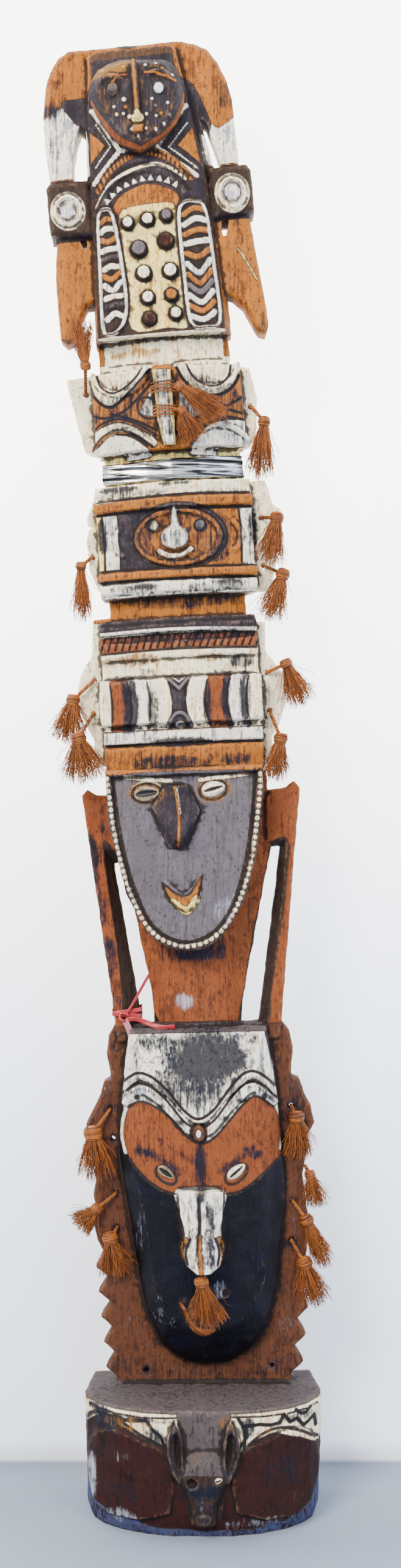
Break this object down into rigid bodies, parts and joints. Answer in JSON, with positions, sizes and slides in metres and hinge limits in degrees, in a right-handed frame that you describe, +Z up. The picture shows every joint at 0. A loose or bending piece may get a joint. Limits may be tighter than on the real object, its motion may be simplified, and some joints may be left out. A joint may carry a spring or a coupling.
{
  "type": "totem mask",
  "caption": "Tall carved and painted totem board: a hanging figure over banded masks, an open frame and a toothed panel on a half-log base.",
  "frame": {"origin": "centre of the base's flat underside", "axes": "+Z up along the carving, -Y towards the carved front, +X to the viewer's right"},
  "size_m": [0.311, 0.1505, 1.5645],
  "materials": {
    "carved_wood": "hand-carved softwood under rubbed ochre, white, black and grey earth paint",
    "shell": "worn cowrie shell",
    "bead": "pale polished bead",
    "foil": "creased bright foil strip",
    "ribbon": "glossy red plastic ribbon",
    "raffia": "dyed dry raffia fibre"
  },
  "bodies": {
    "root": {"totem": "carved_wood", "cowrie_grey_left": "shell", "cowrie_grey_right": "shell", "cowrie_long_left": "shell", "cowrie_long_right": "shell", "cowrie_animal": "shell", "shell_eye": "shell", "brow_bead": "bead", "foil_strip": "foil", "arm_tie": "ribbon", "tassel_lobe_left": "raffia", "tassel_lobe_right": "raffia", "tassel_face_left": "raffia", "tassel_face_right_upper": "raffia", "tassel_face_right_lower": "raffia", "tassel_collar_right_upper": "raffia", "tassel_collar_right_lower": "raffia", "tassel_collar_left_upper": "raffia", "tassel_collar_left_lower": "raffia", "tassel_panel_left_upper": "raffia", "tassel_panel_left_side": "raffia", "tassel_panel_left_lower": "raffia", "tassel_panel_right_upper": "raffia", "tassel_panel_right_side": "raffia", "tassel_panel_right_middle": "raffia", "tassel_panel_right_lower": "raffia", "tassel_nose_bar_upper": "raffia", "tassel_nose_bar_lower": "raffia", "tassel_nose": "raffia"}
  },
  "joints": []
}
